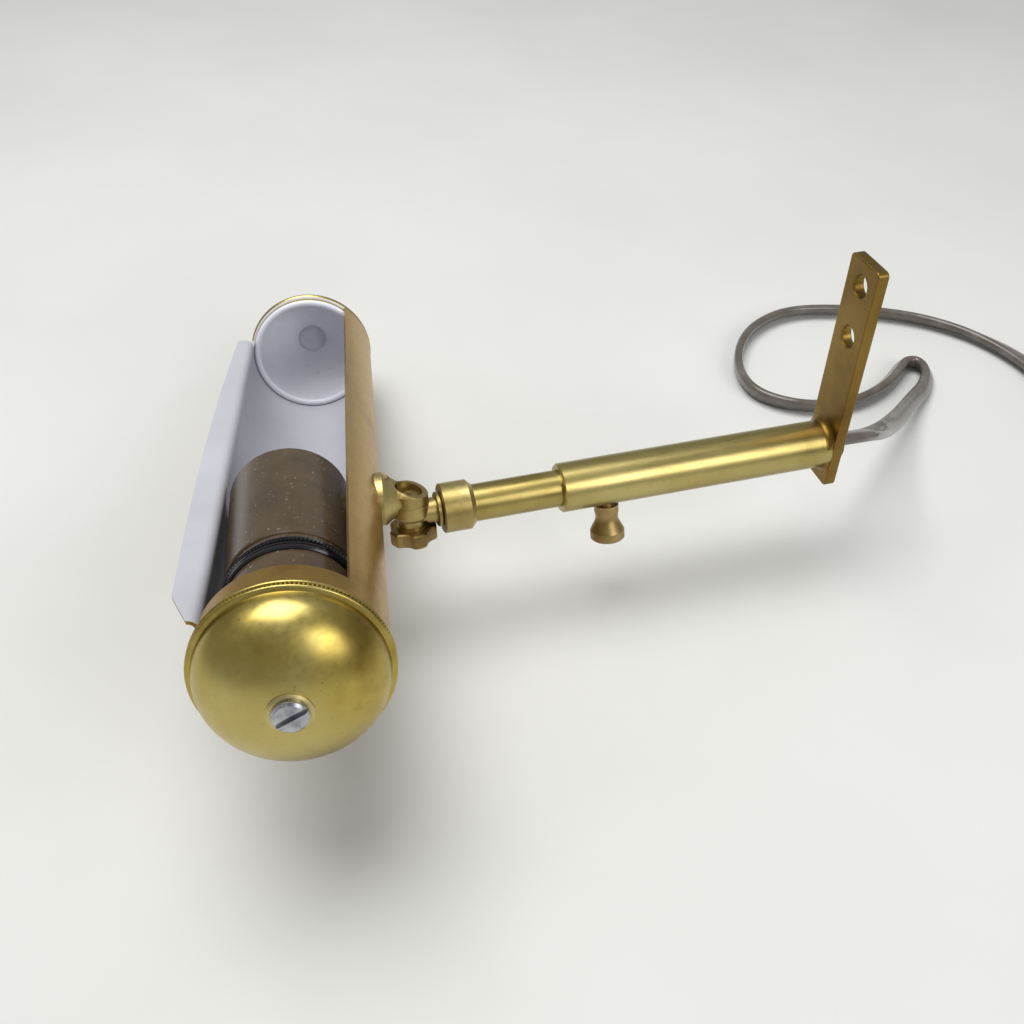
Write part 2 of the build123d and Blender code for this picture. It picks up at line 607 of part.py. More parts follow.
def cup_washer():
    """Small dished washer under the cap's screw."""
    seat = -CAP_HEIGHT + 0.35 - SEAT_GAP
    rim = CUP_WASHER_DIA / 2
    return turned(
        (CAP_SCREW_DIA / 2 + RUN_FIT, seat), (rim, seat), (rim, seat - CUP_WASHER_THICK * 0.4),
        (rim - 0.5, seat - CUP_WASHER_THICK), (CAP_SCREW_DIA / 2 + RUN_FIT, seat - CUP_WASHER_THICK),
    )


def cap_screw(length):
    """Slotted pan-head screw through the pole of a cap."""
    seat = -CAP_HEIGHT + 0.35 - CUP_WASHER_THICK - 2 * SEAT_GAP
    head, edge = CAP_SCREW_HEAD_DIA / 2, 0.5
    screw = turned(
        (0, seat - CAP_SCREW_HEAD), (head - edge, seat - CAP_SCREW_HEAD),
        (head, seat - CAP_SCREW_HEAD + edge), (head, seat), (CAP_SCREW_DIA / 2, seat),
        (CAP_SCREW_DIA / 2, seat + length), (0, seat + length),
    )
    slot = Box(CAP_SCREW_HEAD_DIA + 1, SLOT_WIDTH + 0.3, 1.6)
    return screw - Pos(0, 0, seat - CAP_SCREW_HEAD) * slot


def far_nut():
    """Round domed nut inside the far cap."""
    rim = FAR_NUT_DIA / 2
    inner_r = SHADE_R + FAR_BEAD_OUT - 0.2 - CAP_WALL
    start = -CAP_SKIRT - (CAP_DOME - CAP_WALL) * sqrt(1 - (rim / inner_r) ** 2) + SEAT_GAP
    end = start + FAR_NUT_HEIGHT
    dome = Pos(0, 0, end - FAR_NUT_CROWN_R) * Sphere(FAR_NUT_CROWN_R)
    return (disc(rim, start, end) & dome) - disc(CAP_SCREW_DIA / 2 + RUN_FIT, start - 1, start + 2.2)


# ---- lampholder --------------------------------------------------------------------
def holder_strap():
    """Strap along the shade's wall on the arm's side, with the stem's hole."""
    outer = SHADE_BORE_R - STRAP_FIT
    start = HOLDER_SEAT + HOLDER_PLATE_AT + outer * sin(radians(HOLDER_TILT))
    strap = ring(outer, outer - STRAP_THICK, start, HUB_FROM_NEAR + STRAP_WIDTH / 2)
    band = Pos(SHADE_R, 0, SHADE_LENGTH / 2) * Box(SHADE_R * 2, STRAP_WIDTH, SHADE_LENGTH)
    hole = Rot(0, 90, 0) * disc(STEM_THREAD_DIA / 2 + RUN_FIT, 0, SHADE_R + 2)
    return (strap & band) - Pos(0, 0, HUB_FROM_NEAR) * hole


def holder_bracket():
    """The strap and its bent-in plate, square to the lampholder's axis."""
    outer = SHADE_BORE_R - STRAP_FIT
    end = HOLDER_PLATE_AT + STRAP_PLATE
    tongue = Box(outer, STRAP_WIDTH, STRAP_PLATE, align=(Align.MIN, Align.CENTER, Align.MIN))
    plate = Pos(0, 0, HOLDER_PLATE_AT) * tongue + disc(STRAP_PLATE_DIA / 2, HOLDER_PLATE_AT, end)
    plate -= disc(STUD_DIA / 2 + RUN_FIT, 0, SHADE_R)
    tilted = Pos(0, 0, HOLDER_SEAT) * Rot(0, -HOLDER_TILT, 0) * plate
    return SHADE * (holder_strap() + (tilted & disc(outer, 0, SHADE_LENGTH)))


def holder_stud():
    """Threaded stud through the plate, tapped at its near end for the cap's screw."""
    stud = disc(STUD_DIA / 2, -STUD_NEAR, STUD_FAR + HOLDER_BASE)
    return HOLDER * (stud - disc(CAP_SCREW_DIA / 2 + 0.45, -STUD_NEAR - 1, 1.5))


def stud_nut():
    end = HOLDER_PLATE_AT - SEAT_GAP
    nut = hexagon(STUD_NUT_FLATS, end - STUD_NUT_THICK, end)
    return HOLDER * (nut - disc(STUD_DIA / 2 + RUN_FIT, end - 9, end + 9))


def lampholder_cap():
    """Moulded base of the lampholder, with a collar that the shell screws onto."""
    nose, body = HOLDER_CAP_NOSE_DIA / 2, HOLDER_CAP_DIA / 2
    collar = HOLDER_DIA / 2 - HOLDER_WALL - 0.3
    cavity = collar - 1.6
    end = HOLDER_CAP_END
    shoulder = ThreePointArc((nose, HOLDER_BASE), (body - 1.3, HOLDER_BASE + 1.9),
                             (body, HOLDER_BASE + 5.2))
    lines = [
        shoulder,
        Polyline((body, HOLDER_BASE + 5.2), (body, end), (collar, end),
                 (collar, end + HOLDER_COLLAR), (cavity, end + HOLDER_COLLAR),
                 (cavity, HOLDER_BASE + HOLDER_CAP_BASE),
                 (STUD_DIA / 2 + RUN_FIT, HOLDER_BASE + HOLDER_CAP_BASE),
                 (STUD_DIA / 2 + RUN_FIT, HOLDER_BASE), (nose, HOLDER_BASE)),
    ]
    cap = turned_face(lines)
    notch = Box(HOLDER_DIA, WIRE_SLOT_WIDTH, WIRE_SLOT_LENGTH,
                align=(Align.MIN, Align.CENTER, Align.MIN))
    return HOLDER * (cap - Pos(0, 0, HOLDER_BASE + HOLDER_CAP_BASE) * notch)


def lampholder_ring():
    """Milled ring moulded round the base of the lampholder."""
    inner = HOLDER_CAP_DIA / 2 + SEAT_GAP
    outer = HOLDER_DIA / 2 + 0.2
    start, end = HOLDER_RING_START, HOLDER_RING_START + HOLDER_RING
    groove = start + HOLDER_RING * 0.52
    return HOLDER * turned(
        (inner, start), (outer - 0.4, start), (outer, start + 0.5), (outer, groove - 0.3),
        (outer - 0.5, groove), (outer, groove + 0.3), (outer, end - 0.3), (outer - 0.3, end),
        (inner, end),
    )


def lampholder_shell():
    outer, inner = HOLDER_DIA / 2, HOLDER_DIA / 2 - HOLDER_WALL
    start, end, mouth = HOLDER_SHELL_START, HOLDER_SHELL_END, HOLDER_MOUTH_DIA / 2
    floor = end - HOLDER_MOUTH_WALL
    return HOLDER * turned(
        (inner, start), (outer - 0.3, start), (outer, start + 0.3), (outer, end - 1.0),
        (outer - 0.3, end - 0.3), (outer - 1.0, end), (mouth, end), (mouth, floor),
        (inner, floor),
    )


def terminal_spots():
    return [Pos(0, side * TERMINAL_OFFSET, 0) for side in (-1, 1)]


def holder_insulator():
    """Glazed ceramic block that carries the socket and its terminals."""
    radius = HOLDER_DIA / 2 - HOLDER_WALL - 0.3
    block = disc(radius, INSULATOR_START, INSULATOR_END)
    for spot in terminal_spots():
        block -= spot * disc(TERMINAL_DIA / 2 + RUN_FIT, INSULATOR_START - 1, INSULATOR_END - 2)
    return HOLDER * block


def threaded_sleeve():
    """Screw shell whose wider foot stands on the ceramic block."""
    start = INSULATOR_END + SEAT_GAP
    bore = SOCKET_BORE_DIA / 2
    wall, foot = bore + SOCKET_WALL, bore + SOCKET_WALL + SOCKET_FOOT_STEP
    top = start + SOCKET_FOOT
    skirt = ring(foot, foot - SOCKET_WALL, start, top + SOCKET_WALL)
    step = ring(foot, bore, top, top + SOCKET_WALL)
    return HOLDER * (ring(wall, bore, top, start + SOCKET_LENGTH) + step + skirt)


def centre_contact():
    """Sprung brass tongue on a rivet at the bottom of the socket."""
    start = INSULATOR_END + SEAT_GAP
    rivet = disc(1.2, start, start + 1.6)
    reach = 4.6
    tongue = Pos(reach / 2 - 1.2, 0, start + 1.6 + CONTACT_THICK / 2) * Box(
        reach, CONTACT_WIDTH, CONTACT_THICK)
    button = disc(1.4, start + 1.6, start + 2.6)
    return HOLDER * (rivet + tongue + button)


def terminal_screws():
    screws = []
    for spot in terminal_spots():
        head = disc(TERMINAL_HEAD_DIA / 2, INSULATOR_START - 1.8, INSULATOR_START - SEAT_GAP)
        shank = disc(TERMINAL_DIA / 2, INSULATOR_START - SEAT_GAP, INSULATOR_END - 3)
        slot = Pos(0, 0, INSULATOR_START - 1.8) * Box(TERMINAL_HEAD_DIA + 1, 0.7, 1.2)
        screws.append(HOLDER * spot * (head + shank - slot))
    return Compound(screws)


# ---- wires inside ------------------------------------------------------------------
def inner_wires():
    """Two wires from the stem along the strap to the lampholder's base."""
    stem_x = SHADE_R - SADDLE_FACE
    gap_x = stem_x - HUB_NUT_THICK - WIRE_DIA / 2 - 0.35
    wall_x = SHADE_BORE_R - STRAP_FIT - STRAP_THICK - WIRE_FROM_STRAP
    entry = HOLDER_SEAT + HOLDER_BASE + WIRE_ENTRY
    bend = HUB_FROM_NEAR - WIRE_BEND_FROM_HUB
    wires = []
    for side in (-1, 1):
        y = side * (WIRE_DIA / 2 + 0.1)
        points = [
            (stem_x, y, HUB_FROM_NEAR), (gap_x, y, HUB_FROM_NEAR), (gap_x, y, bend),
            (wall_x, y, bend - WIRE_BEND_LENGTH), (wall_x, y, entry), (wall_x - 6, y, entry),
        ]
        wires.append(SHADE * bent_tube(points, WIRE_DIA / 2, [1.5, 12, 12, 1.5]))
    return Compound(wires)


def swivel_sleeve():
    """Pale sleeve on the wires, seen where it dives beside the pin in the open pocket."""
    end = LUG_BOTTOM + 2
    points = [(0, -HUB_REACH - SADDLE_FACE, STEM_RISE), (0, -GROOVE_MID, STEM_RISE),
              (0, -GROOVE_MID, end)]
    return SWUNG * bent_tube(points, SLEEVE_DIA / 2, [1.2])


def flex_in_swivel():
    """Sleeved wires from the lower lug's groove into the arm's stem."""
    points = [(0, GROOVE_MID, PARTING - 1), (0, GROOVE_MID, 0), (0, NECK_LENGTH + STEM_LENGTH, 0)]
    return PIVOT * bent_tube(points, SLEEVE_DIA / 2, [1.2])


def flex_in_tube():
    back = -BAR_THICK - BUSH_FLANGE_THICK
    return ARM * disc(FLEX_WIDTH / 2, back, FLEX_INSIDE)


# ---- free flex, coil and plug ------------------------------------------------------
FLEX_ROUTE = [
    (0, BUSH_FLANGE_THICK, ARM_Z), (0, 12.5, ARM_Z), (-8, 26, -46), (-22, 38.5, -56),
    (-37, 52, -65.5), (-50, 66, -72.3), (-60.5, 79, FLEX_Z), (-67.5, 85.5, FLEX_Z),
    (-74.8, 84, FLEX_Z), (-77, 77.2, FLEX_Z), (-69.5, 68.2, FLEX_Z), (-60, 58.5, FLEX_Z),
    (-54.2, 46.5, FLEX_Z), (-54.5, 33.5, FLEX_Z), (-59, 22, FLEX_Z), (-68, 14.3, FLEX_Z),
    (-80, 13.5, FLEX_Z), (-93, 19, FLEX_Z), (-106, 28, FLEX_Z), (-115, 39, FLEX_Z),
    (-118.5, 52, FLEX_Z), (-115, 69, FLEX_Z), (-107.5, 85, FLEX_Z), (-98, 99, FLEX_Z),
    (-86, 110, FLEX_Z), (-72, 116.5, FLEX_Z), (-57, 119, FLEX_Z),
    (-41, COIL_Y - COIL_RADII[-1] + 0.4, FLEX_Z), (COIL_X, COIL_Y - COIL_RADII[-1], FLEX_Z),
]


def coil_sizes():
    """Inner and outer radius and height of the put-away coil."""
    half = FLAT_WIDTH / 2
    height = COIL_LAYERS * (FLAT_THICK + SEAT_GAP)
    return COIL_RADII[0] - half, COIL_RADII[-1] + half, height


def flex_cord():
    """The free flex, from the bush to the coil that holds the spare length."""
    radii = bend_radii(FLEX_ROUTE)
    print("flex bend radii", [round(r, 1) for r in radii])
    tube = bent_tube(FLEX_ROUTE, FLEX_WIDTH / 2, radii)
    print("flex volume / section", round(tube.volume / (pi * FLEX_WIDTH ** 2 / 4), 1))
    return tube


def cord_coil():
    inner, outer, height = coil_sizes()
    base = FLOOR_Z + TIE_THICK
    coil = ring(outer, inner, base, base + height)
    return Pos(COIL_X, COIL_Y, 0) * fillet(coil.edges().filter_by(GeomType.CIRCLE), FLAT_THICK / 2 - 0.05)


def coil_tie():
    """Flat band round the coil's turns."""
    inner, outer, height = coil_sizes()
    gap = SEAT_GAP * 5
    wide, tall = outer - inner + 8 * gap, height + 2 * gap
    band = Box(wide + 2 * TIE_THICK, TIE_WIDTH, tall + TIE_THICK * 1.8, align=BOTTOM)
    hole = Pos(0, 0, TIE_THICK - gap) * Box(wide, TIE_WIDTH + 1, tall, align=BOTTOM)
    band = Pos((inner + outer) / 2, 0, FLOOR_Z) * (band - hole)
    return Pos(COIL_X, COIL_Y, 0) * Rot(0, 0, TIE_ANGLE) * band


def tail_route():
    """From the coil's upper outer turn, down and round into the plug."""
    top = FLOOR_Z + TIE_THICK + FLAT_THICK * 1.5
    edge = COIL_X + COIL_RADII[-1]
    plug_z = FLOOR_Z + PLUG_HEIGHT / 2
    return [
        (edge, COIL_Y, top), (edge + 0.9, COIL_Y + 13, top), (edge + 1.3, COIL_Y + 27, top - 1.6),
        (edge - 2.5, COIL_Y + 41, FLEX_Z), (edge - 12.5, COIL_Y + 52.5, FLEX_Z + 1),
        (PLUG_X + PLUG_RELIEF + 3.5, PLUG_Y, plug_z), (PLUG_X + 2, PLUG_Y, plug_z),
    ]


def cord_tail():
    route = tail_route()
    radii = bend_radii(route)
    print("tail bend radii", [round(r, 1) for r in radii])
    return bent_tube(route, FLEX_WIDTH / 2, radii)


def plug_body():
    """Flat two-pin plug with a tapered strain relief, lying beside the coil."""
    back, front = 0.0, -PLUG_LENGTH
    half, tail = PLUG_WIDTH / 2, 5.0
    outline = make_face(Polyline(
        (back, -tail), (back - 9, -half * 0.62), (back - 19, -half), (front, -half),
        (front, half), (back - 19, half), (back - 9, half * 0.62), (back, tail), close=True,
    ))
    body = Pos(0, 0, -PLUG_HEIGHT / 2) * extrude(outline, amount=PLUG_HEIGHT)
    body = fillet(body.edges().filter_by(Axis.Z), 2.0)
    body = fillet(body.faces().sort_by(Axis.Z)[-1].edges(), 1.6)
    body = fillet(body.faces().sort_by(Axis.Z)[0].edges(), 1.6)
    relief = Rot(0, 90, 0) * Cone(4.6, FLEX_WIDTH / 2 + 0.7, PLUG_RELIEF, align=BOTTOM)
    body += Pos(-1.0, 0, 0) * relief
    bore = Rot(0, 90, 0) * disc(FLEX_WIDTH / 2, PLUG_RELIEF - 13, PLUG_RELIEF + 1)
    body -= Pos(-1.0, 0, 0) * bore
    for side in (-1, 1):
        hole = Rot(0, -90, 0) * disc(PLUG_PIN_DIA / 2, PLUG_LENGTH - 8, PLUG_LENGTH + 1)
        body -= Pos(0, side * PIN_SPACING / 2, 0) * hole
    return Pos(PLUG_X, PLUG_Y, FLOOR_Z + PLUG_HEIGHT / 2) * body


def plug_pins():
    pins = []
    for side in (-1, 1):
        pin = disc(PLUG_PIN_DIA / 2, PLUG_LENGTH - 8, PLUG_LENGTH + PLUG_PIN_LENGTH)
        pin = fillet(pin.edges().group_by(Axis.Z)[-1], 1.2)
        pins.append(Pos(PLUG_X, PLUG_Y + side * PIN_SPACING / 2, FLOOR_Z + PLUG_HEIGHT / 2)
                    * Rot(0, -90, 0) * pin)
    return Compound(pins)


PARTS = {
    "bracket_bar": bracket_bar,
    "outer_tube": outer_tube,
    "braze_fillet": braze_fillet,
    "tube_bush": tube_bush,
    "thumb_pad": thumb_pad,
    "thumb_screw": thumb_screw,
    "inner_tube": inner_tube,
    "ferrule": ferrule,
    "swivel_arm_half": swivel_arm_half,
    "swivel_clip": swivel_clip,
    "swivel_washer": swivel_washer,
    "star_nut": star_nut,
    "pivot_screw": pivot_screw,
    "swivel_shade_half": swivel_shade_half,
    "hub_saddle": hub_saddle,
    "hub_nut": hub_nut,
    "shade_shell": shade_shell,
    "near_cap": lambda: SHADE * end_cap(CAP_BEAD_R, CAP_BEAD_OUT, CAP_SPIGOT),
    "near_cup_washer": lambda: SHADE * cup_washer(),
    "near_cap_screw": lambda: SHADE * cap_screw(NEAR_SCREW_LENGTH),
    "far_cap": lambda: FAR_END * far_cap(),
    "far_cup_washer": lambda: FAR_END * cup_washer(),
    "far_cap_screw": lambda: FAR_END * cap_screw(FAR_SCREW_LENGTH),
    "far_cap_nut": lambda: FAR_END * far_nut(),
    "holder_bracket": holder_bracket,
    "holder_stud": holder_stud,
    "stud_nut": stud_nut,
    "lampholder_cap": lampholder_cap,
    "lampholder_ring": lampholder_ring,
    "lampholder_shell": lampholder_shell,
    "holder_insulator": holder_insulator,
    "threaded_sleeve": threaded_sleeve,
    "centre_contact": centre_contact,
    "terminal_screws": terminal_screws,
    "inner_wires": inner_wires,
    "swivel_sleeve": swivel_sleeve,
    "flex_in_swivel": flex_in_swivel,
    "flex_in_tube": flex_in_tube,
    "flex_cord": flex_cord,
    "cord_coil": cord_coil,
    "coil_tie": coil_tie,
    "cord_tail": cord_tail,
    "plug_body": plug_body,
    "plug_pins": plug_pins,
}

os.makedirs("parts", exist_ok=True)
for name, make in PARTS.items():
    export_step(make(), f"parts/{name}.step")
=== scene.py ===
"""Brass piano lamp: trough shade on a swivel, telescopic arm, bracket bar and brown flex.

Sizes are in millimetres in the row frame (+Z up the bracket bar, +Y out of its
back) and are turned into metres as each mesh is made.
"""
import math

import bmesh
import bpy
from mathutils import Matrix, Vector


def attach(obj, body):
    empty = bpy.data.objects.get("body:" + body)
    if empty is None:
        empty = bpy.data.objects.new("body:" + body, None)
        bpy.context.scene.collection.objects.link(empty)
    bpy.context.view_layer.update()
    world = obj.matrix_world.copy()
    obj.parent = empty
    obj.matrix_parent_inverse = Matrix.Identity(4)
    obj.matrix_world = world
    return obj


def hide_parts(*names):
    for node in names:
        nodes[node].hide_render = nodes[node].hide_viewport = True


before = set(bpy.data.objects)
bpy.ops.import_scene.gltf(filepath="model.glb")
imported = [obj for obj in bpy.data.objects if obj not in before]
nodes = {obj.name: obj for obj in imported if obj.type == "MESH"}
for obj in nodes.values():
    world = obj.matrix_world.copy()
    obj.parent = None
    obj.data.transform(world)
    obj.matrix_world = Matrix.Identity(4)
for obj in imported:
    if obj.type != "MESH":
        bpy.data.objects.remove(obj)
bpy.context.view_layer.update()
MM = 0.001
SMOOTH_ANGLE = 30       # degrees between two faces that still look like one surface


# ---- working frames ------------------------------------------------------------
def axes(origin, x_axis, y_axis, z_axis):
    """A frame from its origin and its three axes."""
    turn = Matrix((x_axis, y_axis, z_axis)).transposed().to_4x4()
    return Matrix.Translation(Vector(origin)) @ turn


def rotated(degrees, axis):
    """A turn about one axis."""
    return Matrix.Rotation(math.radians(degrees), 4, axis)


SWIVEL_PIVOT = (0, -115.4, -40.3)
SWIVEL_ROLL, SHADE_SWING = -11.6, -7.5
SHADE_NEAR_END = (62.92, -25.96, 5.0)    # from the pivot, once swung
HOLDER_DEPTH, HOLDER_LEAN = 4, -2.8

# The shade's own frame has +Z from its near end to its far end.
pivot_frame = Matrix.Translation(SWIVEL_PIVOT) @ rotated(SWIVEL_ROLL, "Y")
swung_frame = pivot_frame @ rotated(SHADE_SWING, "Z")
shade_frame = swung_frame @ axes(SHADE_NEAR_END, (0, 1, 0), (0, 0, -1), (-1, 0, 0))
holder_frame = shade_frame @ Matrix.Translation((0, 0, HOLDER_DEPTH)) @ rotated(HOLDER_LEAN, "Y")


# ---- making meshes ---------------------------------------------------------------
def add_piece(name, body, bm, place, material, smooth=35):
    """Turns a bmesh in millimetres into a piece that rides on a body."""
    bmesh.ops.recalc_face_normals(bm, faces=bm.faces)
    bm.transform(Matrix.Scale(MM, 4) @ place)
    mesh = bpy.data.meshes.new(name)
    bm.to_mesh(mesh)
    bm.free()
    piece = bpy.data.objects.new(name, mesh)
    bpy.context.scene.collection.objects.link(piece)
    mesh.materials.append(material)
    shade_smooth(mesh, smooth)
    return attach(piece, body)


def shade_smooth(mesh, angle):
    """Smooth shading with sharp edges where faces meet at more than the angle."""
    mesh.shade_smooth()
    mesh.set_sharp_from_angle(angle=math.radians(angle))


def lathe(outline, steps=128):
    """A closed surface turned about z from an open outline of (radius, z) points."""
    bm = bmesh.new()
    verts = [bm.verts.new((r, 0, z)) for r, z in outline]
    edges = [bm.edges.new(pair) for pair in zip(verts, verts[1:])]
    bmesh.ops.spin(
        bm, geom=verts + edges, cent=(0, 0, 0), axis=(0, 0, 1),
        angle=math.tau, steps=steps, use_merge=True,
    )
    bmesh.ops.remove_doubles(bm, verts=bm.verts, dist=0.0005)
    return bm


def turn_step(x, y, teeth):
    """Where a point lies around the axis, counted in half teeth."""
    return math.atan2(y, x) / math.tau * 2 * teeth


def mill(bm, levels, beyond, teeth, low, high):
    """Cuts teeth in a lathed edge: its points at the levels lie low and high by turns."""
    for vert in bm.verts:
        off_level = min(abs(vert.co.z - level) for level in levels)
        reach = math.hypot(vert.co.x, vert.co.y)
        if off_level < 0.01 and reach > beyond:
            step = round(turn_step(vert.co.x, vert.co.y, teeth))
            size = (low if step % 2 else high) / reach
            vert.co.x, vert.co.y = vert.co.x * size, vert.co.y * size


def arc(cx, cz, rx, rz, start, end, steps):
    """Points of an elliptical arc, angles in degrees from the radial direction."""
    points = []
    for i in range(steps + 1):
        angle = math.radians(start + (end - start) * i / steps)
        points.append((cx + rx * math.cos(angle), cz + rz * math.sin(angle)))
    return points


# ---- making materials ------------------------------------------------------------
def colour(code):
    """An sRGB hex colour as the linear one that shaders take."""
    parts = [int(code[i:i + 2], 16) / 255 for i in (1, 3, 5)]
    linear = [c / 12.92 if c <= 0.04045 else ((c + 0.055) / 1.055) ** 2.4 for c in parts]
    return (*linear, 1.0)


def add_node(tree, kind, inputs=None, **settings):
    """Adds a shader node, sets its properties and sets or links its inputs."""
    made = tree.nodes.new(kind)
    for key, value in settings.items():
        setattr(made, key, value)
    for key, value in (inputs or {}).items():
        if isinstance(value, bpy.types.NodeSocket):
            tree.links.new(value, made.inputs[key])
        else:
            made.inputs[key].default_value = value
    return made


def new_material(name, **surface):
    """A material with its main shader and object coordinates."""
    material = bpy.data.materials.new(name)
    material.use_nodes = True
    tree = material.node_tree
    shader = tree.nodes["Principled BSDF"]
    for key, value in surface.items():
        shader.inputs[key.replace("_", " ")].default_value = value
    coords = add_node(tree, "ShaderNodeTexCoord").outputs["Object"]
    return material, tree, shader, coords


def ramp(tree, factor, *stops):
    """A colour ramp through (position, hex colour) stops."""
    made = add_node(tree, "ShaderNodeValToRGB", {"Fac": factor})
    band = made.color_ramp
    while len(band.elements) < len(stops):
        band.elements.new(1.0)
    for element, (position, code) in zip(band.elements, stops):
        element.position = position
        element.color = colour(code)
    return made.outputs["Color"]


def noise(tree, coords, scale, detail=4.0, roughness=0.55, stretch=None):
    """A noise pattern of so many waves per metre, drawn out along an axis if asked."""
    if stretch:
        mapping = {"Vector": coords, "Scale": stretch}
        coords = add_node(tree, "ShaderNodeMapping", mapping).outputs[0]
    values = {"Vector": coords, "Scale": scale, "Detail": detail, "Roughness": roughness}
    return add_node(tree, "ShaderNodeTexNoise", values).outputs["Fac"]


def span(tree, value, low, high, new_low, new_high):
    """A value mapped from one range to another."""
    inputs = {
        "Value": value, "From Min": low, "From Max": high, "To Min": new_low, "To Max": new_high
    }
    return add_node(tree, "ShaderNodeMapRange", inputs).outputs["Result"]


def blend(tree, factor, first, second):
    """Two colours mixed by a factor; the mix node keeps its colours in sockets 6 and 7."""
    inputs = {0: factor, 6: first, 7: second}
    return add_node(tree, "ShaderNodeMix", inputs, data_type="RGBA").outputs[2]


def bump(tree, shader, height, strength, distance):
    """Surface relief from a height pattern, its depth in metres."""
    made = add_node(
        tree, "ShaderNodeBump", {"Height": height, "Strength": strength, "Distance": distance}
    )
    tree.links.new(made.outputs["Normal"], shader.inputs["Normal"])


def brass_look(tree, coords, bright, middle, dull, grain=(1, 1, 1)):
    """Colour and rubbing pattern of unlacquered brass with a brown bloom and dark pinpricks."""
    clouds = noise(tree, coords, 38, detail=6, roughness=0.55)
    base = ramp(tree, clouds, (0.28, dull), (0.44, middle), (0.66, bright))
    spots = noise(tree, coords, 900, detail=2)
    base = blend(tree, span(tree, spots, 0.69, 0.75, 0.0, 0.55), base, colour(dull))
    rubbing = noise(tree, coords, 700, detail=5, roughness=0.7, stretch=grain)
    return base, rubbing


def tarnished_brass(name, bright, middle, dull, rough, grain=(1, 1, 1)):
    """Brass all over, satin from handling."""
    material, tree, shader, coords = new_material(name, Metallic=1.0)
    base, rubbing = brass_look(tree, coords, bright, middle, dull, grain)
    tree.links.new(base, shader.inputs["Base Color"])
    tree.links.new(span(tree, rubbing, 0.3, 0.7, *rough), shader.inputs["Roughness"])
    bump(tree, shader, rubbing, strength=0.05, distance=0.000006)
    return material


def vector_step(tree, operation, *vectors):
    """One step of vector arithmetic, to a vector or to a number."""
    made = add_node(
        tree, "ShaderNodeVectorMath", dict(enumerate(vectors)), operation=operation
    )
    return made.outputs["Value" if operation in ("DOT_PRODUCT", "LENGTH") else "Vector"]


def compute(tree, operation, first, second):
    """One step of arithmetic on two values."""
    return add_node(tree, "ShaderNodeMath", {0: first, 1: second}, operation=operation).outputs[0]


def shade_part(tree, vector, axis):
    """How far a vector reaches along one axis of the shade's frame."""
    return vector_step(tree, "DOT_PRODUCT", vector, shade_frame.col[axis].to_3d().normalized())


SHADE_MIDDLE = 80       # along the shade, from its near end
ENAMEL_REACH = 18.7     # enamel stays this near the shade's axis, but for its lip
INWARD_LEAST = 0.004    # metres towards the shade's middle that an enamelled face looks
LIP_DOWNWARD = 0.47     # a face of the lip that looks further down than this is brass
LIP_OUTWARD = -12       # so is one that looks further than this away from the middle
SHELL_LIP, NO_LIP = 16.5, 99    # how far out from the axis the lip's enamel starts
ENAMEL_ROUGH = 0.42


def facing_inwards(tree, coords, lip_from):
    """1 on the faces that look into the shade and on top of its lip, 0 elsewhere."""
    middle = shade_frame @ Vector((0, 0, SHADE_MIDDLE)) * MM
    towards = vector_step(tree, "SUBTRACT", middle, coords)
    normal = add_node(tree, "ShaderNodeTexCoord").outputs["Normal"]
    facing = vector_step(tree, "DOT_PRODUCT", towards, normal)
    along = shade_frame.col[2].to_3d().normalized()
    across = vector_step(tree, "CROSS_PRODUCT", towards, along)
    reach = vector_step(tree, "LENGTH", across)
    within = compute(tree, "LESS_THAN", reach, ENAMEL_REACH * MM)
    facing_in = compute(tree, "GREATER_THAN", facing, INWARD_LEAST)
    inside = compute(tree, "MULTIPLY", within, facing_in)
    beyond = compute(tree, "GREATER_THAN", shade_part(tree, towards, 0), lip_from * MM)
    not_under = compute(tree, "LESS_THAN", shade_part(tree, normal, 1), LIP_DOWNWARD)
    not_outer = compute(tree, "GREATER_THAN", facing, LIP_OUTWARD * MM)
    lip_top = compute(tree, "MULTIPLY", beyond, not_under)
    on_lip = compute(tree, "MULTIPLY", lip_top, not_outer)
    return compute(tree, "MAXIMUM", inside, on_lip)


def lined_brass(name, bright, middle, dull, lining, rough, lip_from):
    """Brass outside and greyish white stoved enamel on the faces that look into the shade."""
    material, tree, shader, coords = new_material(name)
    lined = facing_inwards(tree, coords, lip_from)
    base, rubbing = brass_look(tree, coords, bright, middle, dull)
    clouds = noise(tree, coords, 40, detail=5)
    enamel = ramp(tree, clouds, (0.3, lining[0]), (0.7, lining[1]))
    flecks = noise(tree, coords, 800, detail=3)
    enamel = blend(tree, span(tree, flecks, 0.66, 0.74, 0.0, 0.35), enamel, colour("#8f8f96"))
    tree.links.new(blend(tree, lined, base, enamel), shader.inputs["Base Color"])
    tree.links.new(span(tree, lined, 0, 1, 1, 0), shader.inputs["Metallic"])
    metal_rough = span(tree, rubbing, 0.3, 0.7, *rough)
    inputs = {"Factor": lined, "A": metal_rough, "B": ENAMEL_ROUGH}
    rough_mix = add_node(tree, "ShaderNodeMix", inputs)
    tree.links.new(rough_mix.outputs["Result"], shader.inputs["Roughness"])
    bump(tree, shader, rubbing, strength=0.05, distance=0.000006)
    return material


